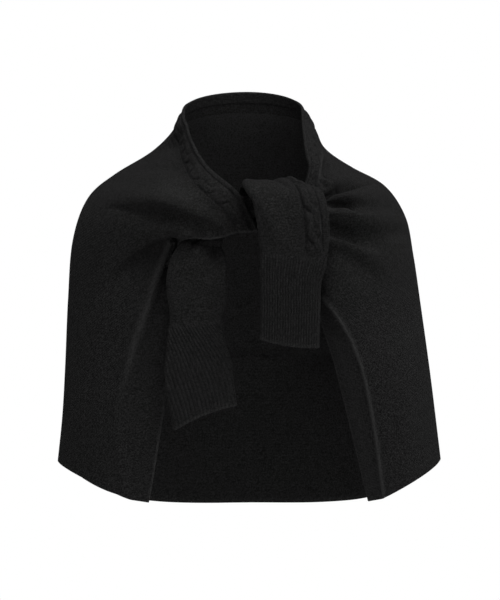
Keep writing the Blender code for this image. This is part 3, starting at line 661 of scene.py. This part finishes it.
def add_mesh(name, points, faces, loop_uv, worn, sewn, facing, material):
    """An object of quads, with its knit coordinates, its painted light shares, and sharp sewn edges."""
    if facing < 0:
        faces, loop_uv = faces[:, ::-1], loop_uv[:, ::-1]
    mesh = bpy.data.meshes.new(name)
    mesh.from_pydata(points.tolist(), [], faces.tolist())
    mesh.uv_layers.new(name="knit").data.foreach_set("uv", loop_uv.ravel())
    mesh.attributes.new("worn", "FLOAT", "POINT").data.foreach_set("value", worn)
    mesh.shade_smooth()
    ends = np.empty(2 * len(mesh.edges), int)
    mesh.edges.foreach_get("vertices", ends)
    sharp = sewn[ends.reshape(-1, 2)].all(axis=1)
    mesh.attributes.new("sharp_edge", "BOOLEAN", "EDGE").data.foreach_set("value", sharp)
    mesh.materials.append(material)
    piece = bpy.data.objects.new(name, mesh)
    bpy.context.scene.collection.objects.link(piece)
    return piece


def panel_rows(count):
    """Rows from the band to the hem, closer together at the top, where the folds are."""
    return BAND_ROW + ROW_GAP + (HEM_ROW - BAND_ROW - ROW_GAP) * np.linspace(0, 1, count + 1) ** ROW_CROWDING


def band_rows():
    return NECK_ROW + (BAND_ROW - ROW_GAP - NECK_ROW) * np.linspace(0, 1, BAND_ROWS + 1)


def front_grid(side, rows, columns):
    row, ring = np.meshgrid(rows, np.linspace(RING_GAP, 1, columns + 1), indexing="ij")
    return body(side, row, ring)


def back_grid(rows, columns):
    half = np.linspace(-RING_GAP, -1, columns // 2 + 1)
    right = body("right", *np.meshgrid(rows, half, indexing="ij"))
    left = body("left", *np.meshgrid(rows, half[::-1], indexing="ij"))
    return np.concatenate([right, left[:, 1:]], axis=1)


def add_panel(name, points, facing, relief, thicker, inside_painted_lift, free_edges, material):
    """A wall of the body on a grid of points, with its creases and any relief. Its knit starts at the hem.

    thicker is added inside, and the share given after it is painted light that lifts the inside's shade.
    free_edges are those that aren't sewn to another piece: top, hem and front."""
    normals = grid_normals(points, False, facing)
    # The creases, and the painted highlights along their lines
    height, worn = body_creases(points, normals)
    creased = points + normals * height[..., None]
    normals = grid_normals(creased, False, facing)
    outer = creased + normals * relief[..., None]
    inner = creased - normals * (BODY_WALL + thicker)[..., None]
    across = length_along(points, 1)
    down = length_along(points, 0)
    from_edge = {"top": down, "hem": down[-1:] - down, "front": across[:, -1:] - across}
    # Painted highlight along each free edge's rim
    for edge in free_edges:
        at_edge = np.exp(-((from_edge[edge] / PAINTED_RIM_WIDTH) ** 2))
        worn = np.maximum(worn, PAINTED_RIM_SHARES[edge] * at_edge)
    sewn = np.zeros(points.shape[:2], bool)
    sewn[:, 0] = True
    sewn[:, -1] = "front" not in free_edges
    sewn[0] |= "top" not in free_edges
    sewn[-1] |= "hem" not in free_edges
    uv = np.stack([across, down[-1:] - down], -1)
    # The inside face carries the painted highlights and, on the back, the painted light that lifts its shade
    return add_wall(name, outer, inner, uv, worn, np.maximum(worn, inside_painted_lift), sewn, False, facing, material)


def add_front(side, material):
    points = front_grid(side, panel_rows(FRONT_ROWS), FRONT_COLUMNS)
    plain = np.zeros(points.shape[:2])
    free_edges = ("hem", "front")
    return add_panel(f"{side}_front_knit", points, SIDES[side], plain, plain, plain, free_edges, material)


def add_back(material):
    points = back_grid(panel_rows(BACK_ROWS), BACK_COLUMNS)
    plain = np.zeros(points.shape[:2])
    below_band = (panel_rows(BACK_ROWS) - BAND_ROW) / PAINTED_LIGHT_INSIDE_ROWS
    # Painted light on the back's inside, lifting its shade below the band
    inside_painted_lift = plain + PAINTED_LIGHT_INSIDE * np.exp(-(below_band**2))[:, None]
    return add_panel("back_knit", points, 1.0, plain, plain, inside_painted_lift, ("hem",), material)


def add_band(name, points, facing, free_edges, material):
    share = np.linspace(0, 1, BAND_ROWS + 1)[:, None]
    middle = length_along(points, 1)[BAND_ROWS // 2][None, :]
    plain = np.zeros(points.shape[:2])
    thicker = plain + BAND_THICKER * smooth_step((BAND_LEDGE_AT - share) / BAND_LEDGE_SOFTNESS)
    return add_panel(name, points, facing, band_relief(share, middle), thicker, plain, free_edges, material)


def even_ring(half_width, half_thick, count, turned):
    """Even points round a flattened oval, as (across, out) pairs. turned is a share of the way round."""
    turn = np.linspace(0, 2 * pi, OVAL_STEPS + 1)
    across = half_width * np.sign(np.cos(turn)) * np.abs(np.cos(turn)) ** OVAL_POWER
    out = half_thick * np.sign(np.sin(turn)) * np.abs(np.sin(turn)) ** OVAL_POWER
    length = np.concatenate([[0], np.cumsum(np.hypot(np.diff(across), np.diff(out)))])
    at = np.mod(np.linspace(0, 1, count, endpoint=False) + turned, 1) * length[-1]
    return np.stack([np.interp(at, length, across), np.interp(at, length, out)], -1)


def sleeve_frames(side, at):
    """Centres and half sizes along a sleeve, and its axes: across the flat, and out of it."""
    sections = smooth_rows(SLEEVES[side], at)
    before, after = (smooth_rows(SLEEVES[side], at + step) for step in (-ROW_STEP, ROW_STEP))
    path = unit((after - before)[:, :3])
    if side == "right":
        across = np.tile([1.0, 0.0, 0.0], (len(at), 1))
    else:
        across = np.cross(path, [0.0, 1.0, 0.0])
    across = unit(across - path * np.sum(across * path, axis=1, keepdims=True))
    return sections[:, :3], sections[:, 3], sections[:, 4], across, np.cross(path, across)


def sleeve_face(side, share, row):
    """Points on a flattened sleeve's outer face."""
    centres, half_width, half_thick, across, out = sleeve_frames(side, row)
    rise = np.sqrt(1 - np.abs(share) ** (2 / OVAL_POWER)) ** OVAL_POWER
    return centres + across * (share * half_width)[:, None] + out * (rise * half_thick)[:, None]


def sleeve_creases(stretch, points, normals):
    height = np.zeros(points.shape[:-1])
    for crease in SLEEVE_CREASES:
        if crease.name != stretch.name:
            continue
        place = curve_through(crease.path)
        line = sleeve_face(stretch.side, place[:, 0], place[:, 1])
        widths = (crease.outer, crease.inner)
        height += crease.height * crease_profile(points, normals, line, crease, widths, -1.0)
    return height


def cable_strip_relief(along, across, cable):
    """The cable down a sleeve, between two grooves."""
    place = (across - cable) / SLEEVE_CABLE_HALF
    from_groove = np.abs(across - cable) - SLEEVE_CABLE_HALF * SLEEVE_GROOVE_AT
    grooves = np.exp(-((from_groove / SLEEVE_GROOVE_HALF) ** 2))
    along = along + SLEEVE_CABLE_START
    strands = cable_height(along, place, SLEEVE_CABLE_REPEAT, SLEEVE_CABLE_HEIGHT, SLEEVE_STRAND_CUT)
    return strands - SLEEVE_GROOVE_DEPTH * grooves


def rib_relief(along, columns, count):
    """Ribs down a cuff that grow out of plain knit, and the lip where the last row is cast off."""
    around = np.arange(columns) / columns
    ribs = RIB_HEIGHT * np.abs(np.cos(pi * count * around)) ** RIB_ROUNDNESS
    grown = smooth_step(along / RIB_GROWS_OVER)
    lip = CUFF_LIP_HEIGHT * np.exp(-(((along[-1] - along) / CUFF_LIP_LENGTH) ** 2))
    return grown[:, None] * ribs[None, :] + lip[:, None]


def wrinkle_relief(share, columns):
    """Uneven wrinkles along a roll of bunched cloth."""
    around = np.arange(columns)[None, :] / columns
    share = share[:, None]
    wave = np.cos(2 * pi * (WRINKLES * around + WRINKLE_TURNS * np.sin(2 * pi * share)))
    crossing = np.cos(2 * pi * (CROSSING_WRINKLES * around - share))
    return WRINKLE_HEIGHT * (wave + CROSSING_WRINKLE_SHARE * crossing - WRINKLE_SINK)


def stretch_rise(stretch, share, at, flat_share):
    """How far a stretch's points rise above its even tube: its slant, its bow, and its droop."""
    slant = stretch.slants[0] + (stretch.slants[1] - stretch.slants[0]) * share[:, None]
    droop = smooth_step((flat_share - DROOP_FROM) / (1 - DROOP_FROM))
    droop = stretch.droop * droop * np.exp(-(((at - DROOP_ROW) / DROOP_ROWS) ** 2))[:, None]
    return slant / 2 * flat_share + stretch.bow * (1 - flat_share**2) * share[:, None] - droop


def add_stretch(stretch, material):
    """One stretch of a sleeve: a flat tube, or a wrinkled roll where the knot bunches it."""
    share = np.linspace(0, 1, stretch.stations)
    at = stretch.first_row + ROW_GAP + (stretch.last_row - stretch.first_row - 2 * ROW_GAP) * share
    centres, half_width, half_thick, across, out = sleeve_frames(stretch.side, at)
    along = length_along(centres[None], 1)[0]
    turned = stretch.twist * (1 - (1 - share) ** TWIST_EASE) / max(stretch.ribs, 1)
    rings = np.stack([
        even_ring(width, thick, stretch.points, turn)
        for width, thick, turn in zip(half_width, half_thick, turned)
    ])
    points = centres[:, None] + rings[..., :1] * across[:, None] + rings[..., 1:] * out[:, None]
    points[..., 2] += stretch_rise(stretch, share, at, rings[..., 0] / half_width[:, None])
    normals = grid_normals(points, True, 1.0)
    height = sleeve_creases(stretch, points, normals)
    relief = np.zeros(points.shape[:2])
    worn = np.zeros(points.shape[:2])
    sewn = np.zeros(points.shape[:2], bool)
    sewn[0] = True
    sewn[-1] = stretch.knit != "ribbed"
    if stretch.knit == "bunched":
        height += wrinkle_relief(share, stretch.points)
    if stretch.knit == "ribbed":
        relief += rib_relief(along, stretch.points, stretch.ribs)
        # Painted highlight round the cuff's end
        worn += PAINTED_CUFF_RIM_SHARE * np.exp(-(((along[-1] - along) / PAINTED_RIM_WIDTH) ** 2))[:, None]
    if stretch.cable:
        on_face = smooth_step(rings[..., 1] / half_thick[:, None] / CABLE_RISES_BY)
        to_rib = smooth_step((along[-1] - along) / CABLE_ENDS_OVER)[:, None]
        relief += on_face * to_rib * cable_strip_relief(along[:, None], rings[..., 0], stretch.cable)
    creased = points + normals * height[..., None]
    outer = creased + normals * relief[..., None]
    inner = creased - normals * SLEEVE_WALL
    round_length = np.linalg.norm(np.roll(points, -1, axis=1) - points, axis=-1)
    around = np.concatenate([np.zeros((stretch.stations, 1)), np.cumsum(round_length, axis=1)], axis=1)
    uv = np.stack([around, np.broadcast_to(along[-1] - along[:, None], around.shape)], -1)
    return add_wall(f"{stretch.name}_knit", outer, inner, uv, worn, worn, sewn, True, 1.0, material)


Knit = namedtuple("Knit", "slot tone wale")
# Each knit's record slot, how light its grey is, and its stitches' width. The bunched knit's grey is lighter
# as painted light, lifting the shade in the knot's gaps where it shows.
KNITS = {
    "plain": Knit("plain_knit", 0.0057, 0.0019),
    # Lighter than plain: painted light for the shaded gaps at the knot
    "bunched": Knit("bunched_knit", 0.0076, 0.0019),
    "cable": Knit("cable_knit", 0.0059, 0.0021),
    "ribbed": Knit("ribbed_knit", 0.0059, 0.0019),
}
# The stitches' height, how far a leg leans, how it swells along its course, and their depth and shade
COURSE = 0.0021
STITCH_LEAN = 0.9
STITCH_SWELL = 0.45
STITCH_LEVEL = 0.55
STITCH_DEPTH = 0.0004
STITCH_SHADE = 0.09

# The yarn's mottle and the fuzz over it, and the yarn's lightness at places on the mottle's scale, up which
# the painted light also lifts the tone
MOTTLE_SCALE = 520.0
MOTTLE_DETAIL = 2.0
FUZZ_SCALE = 900.0
FUZZ_DETAIL = 3.0
Yarn = namedtuple("Yarn", "place lightness")
DARK_YARN = Yarn(0.38, 0.52)
EVEN_YARN = Yarn(0.54, 1.0)
LIGHT_YARN = Yarn(0.86, 2.2)

ROUGHNESS = 0.95
SHEEN = 0.009
SHEEN_ROUGHNESS = 0.15
WHITE = (1.0, 1.0, 1.0, 1.0)


def knit_material(knit):
    """A brushed knit: rows of V stitches, fuzz over them, mottled yarn, and painted highlights and painted
    light from the mesh.
    """
    material = bpy.data.materials.new(knit.slot)
    material.use_nodes = True
    nodes, links = material.node_tree.nodes, material.node_tree.links
    shader = nodes["Principled BSDF"]

    def calculate(operation, *values):
        node = nodes.new("ShaderNodeMath")
        node.operation = operation
        for socket, value in zip(node.inputs, values):
            if isinstance(value, (int, float)):
                socket.default_value = value
            else:
                links.new(value, socket)
        return node.outputs[0]

    def noise(scale, detail):
        node = nodes.new("ShaderNodeTexNoise")
        node.inputs["Scale"].default_value = scale
        node.inputs["Detail"].default_value = detail
        links.new(place.outputs["Object"], node.inputs["Vector"])
        return node.outputs["Fac"]

    def set_yarn(stop, yarn):
        stop.position = yarn.place
        stop.color = (*(3 * [yarn.lightness * knit.tone]), 1)

    place = nodes.new("ShaderNodeTexCoord")
    metres = nodes.new("ShaderNodeSeparateXYZ")
    links.new(place.outputs["UV"], metres.inputs[0])
    wale = calculate("FRACT", calculate("DIVIDE", metres.outputs["X"], knit.wale))
    from_middle = calculate("ABSOLUTE", calculate("SUBTRACT", wale, 0.5))
    leg = calculate("SINE", calculate("MULTIPLY", from_middle, 2 * pi))
    lean = calculate("MULTIPLY", from_middle, STITCH_LEAN)
    course = calculate("SUBTRACT", calculate("DIVIDE", metres.outputs["Y"], COURSE), lean)
    wave = calculate("COSINE", calculate("MULTIPLY", course, 2 * pi))
    stitches = calculate("MULTIPLY", leg, calculate("MULTIPLY_ADD", wave, STITCH_SWELL, STITCH_LEVEL))
    fuzz = noise(FUZZ_SCALE, FUZZ_DETAIL)
    height = calculate("ADD", stitches, fuzz)

    bump = nodes.new("ShaderNodeBump")
    bump.inputs["Strength"].default_value = 1.0
    bump.inputs["Distance"].default_value = STITCH_DEPTH
    links.new(height, bump.inputs["Height"])
    links.new(bump.outputs["Normal"], shader.inputs["Normal"])

    # Painted light: highlights on crease crests and rims, and the lift in the back's inside shade, lighten
    # the yarn
    painted_light_attribute = nodes.new("ShaderNodeAttribute")
    painted_light_attribute.attribute_name = "worn"
    lighter = calculate("MULTIPLY", painted_light_attribute.outputs["Fac"], fuzz)
    yarn = calculate("MULTIPLY_ADD", stitches, STITCH_SHADE, noise(MOTTLE_SCALE, MOTTLE_DETAIL))
    tone = calculate("ADD", yarn, lighter)
    ramp = nodes.new("ShaderNodeValToRGB")
    stops = ramp.color_ramp.elements
    set_yarn(stops[0], DARK_YARN)
    set_yarn(stops[1], LIGHT_YARN)
    set_yarn(stops.new(EVEN_YARN.place), EVEN_YARN)
    links.new(tone, ramp.inputs["Fac"])
    links.new(ramp.outputs["Color"], shader.inputs["Base Color"])

    shader.inputs["Roughness"].default_value = ROUGHNESS
    shader.inputs["Specular IOR Level"].default_value = 0.0
    shader.inputs["Sheen Weight"].default_value = SHEEN
    shader.inputs["Sheen Roughness"].default_value = SHEEN_ROUGHNESS
    shader.inputs["Sheen Tint"].default_value = WHITE
    return material


def declare(piece, node):
    """Hangs a piece on the root, and hides the solid in whose place it stands."""
    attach(piece, "root")
    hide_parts(node)


def add_garment():
    materials = {name: knit_material(knit) for name, knit in KNITS.items()}
    declare(add_back(materials["plain"]), "back")
    points = back_grid(band_rows(), BAND_COLUMNS)
    band = add_band("back_neck_band_knit", points, 1.0, ("top",), materials["cable"])
    declare(band, "back_neck_band")
    for side, facing in SIDES.items():
        front = add_front(side, materials["plain"])
        declare(front, f"{side}_front")
        points = front_grid(side, band_rows(), BAND_COLUMNS)
        band = add_band(f"{side}_neck_band_knit", points, facing, ("top", "front"), materials["cable"])
        declare(band, f"{side}_neck_band")
    for stretch in STRETCHES:
        piece = add_stretch(stretch, materials[stretch.knit])
        declare(piece, stretch.name)


# The photograph's camera: level, this far in front of the shoulders, with its focal length in image pixels.
# The sensor spans the picture's longer side, its height.
CAMERA_X = 0.0042
CAMERA_Z = -0.210
CAMERA_DISTANCE = 3.0
FOCAL_PIXELS = 2143.0
IMAGE_HEIGHT = 600.0
SENSOR = 36.0

Light = namedtuple("Light", "name place size watts")
# Square lamps, named for where they stand as the camera sees them
LIGHTS = [
    Light("top", (0.3, -0.8, 2.1), 1.4, 130.0),
    Light("right", (2.3, -1.8, 1.0), 1.6, 52.0),
    Light("left", (-2.3, -1.7, 0.8), 1.6, 6.0),
]
LIGHTS_AIM = (0.0, 0.0, -0.2)
WORLD_STRENGTH = 1.0
FLOOR_Z = -1.0
FLOOR_RADIUS = 2.4
FLOOR_SIDES = 96
FLOOR_COLOUR = (0.9, 0.9, 0.9, 1.0)
FLOOR_ROUGHNESS = 0.9


def add_camera():
    lens = bpy.data.cameras.new("camera")
    lens.sensor_width = SENSOR
    lens.lens = SENSOR * FOCAL_PIXELS / IMAGE_HEIGHT
    camera = bpy.data.objects.new("camera", lens)
    camera.location = (CAMERA_X, -CAMERA_DISTANCE, CAMERA_Z)
    camera.rotation_euler = (pi / 2, 0, 0)
    bpy.context.scene.collection.objects.link(camera)
    bpy.context.scene.camera = camera


def add_lights():
    for light in LIGHTS:
        lamp = bpy.data.lights.new(light.name, "AREA")
        lamp.energy = light.watts
        lamp.size = light.size
        holder = bpy.data.objects.new(light.name, lamp)
        holder.location = light.place
        towards = Vector(LIGHTS_AIM) - Vector(light.place)
        holder.rotation_euler = towards.to_track_quat("-Z", "Y").to_euler()
        bpy.context.scene.collection.objects.link(holder)
    world = bpy.data.worlds.new("studio")
    world.use_nodes = True
    background = world.node_tree.nodes["Background"]
    background.inputs["Color"].default_value = WHITE
    background.inputs["Strength"].default_value = WORLD_STRENGTH
    bpy.context.scene.world = world
    bpy.context.scene.view_settings.view_transform = "Standard"


def add_floor():
    bpy.ops.mesh.primitive_circle_add(
        vertices=FLOOR_SIDES, radius=FLOOR_RADIUS, fill_type="NGON", location=(0.0, 0.0, FLOOR_Z)
    )
    floor = bpy.context.object
    floor.name = "floor"
    paint = bpy.data.materials.new("floor_paint")
    paint.use_nodes = True
    shader = paint.node_tree.nodes["Principled BSDF"]
    shader.inputs["Base Color"].default_value = FLOOR_COLOUR
    shader.inputs["Roughness"].default_value = FLOOR_ROUGHNESS
    floor.data.materials.append(paint)


add_camera()
add_lights()
add_floor()
add_garment()
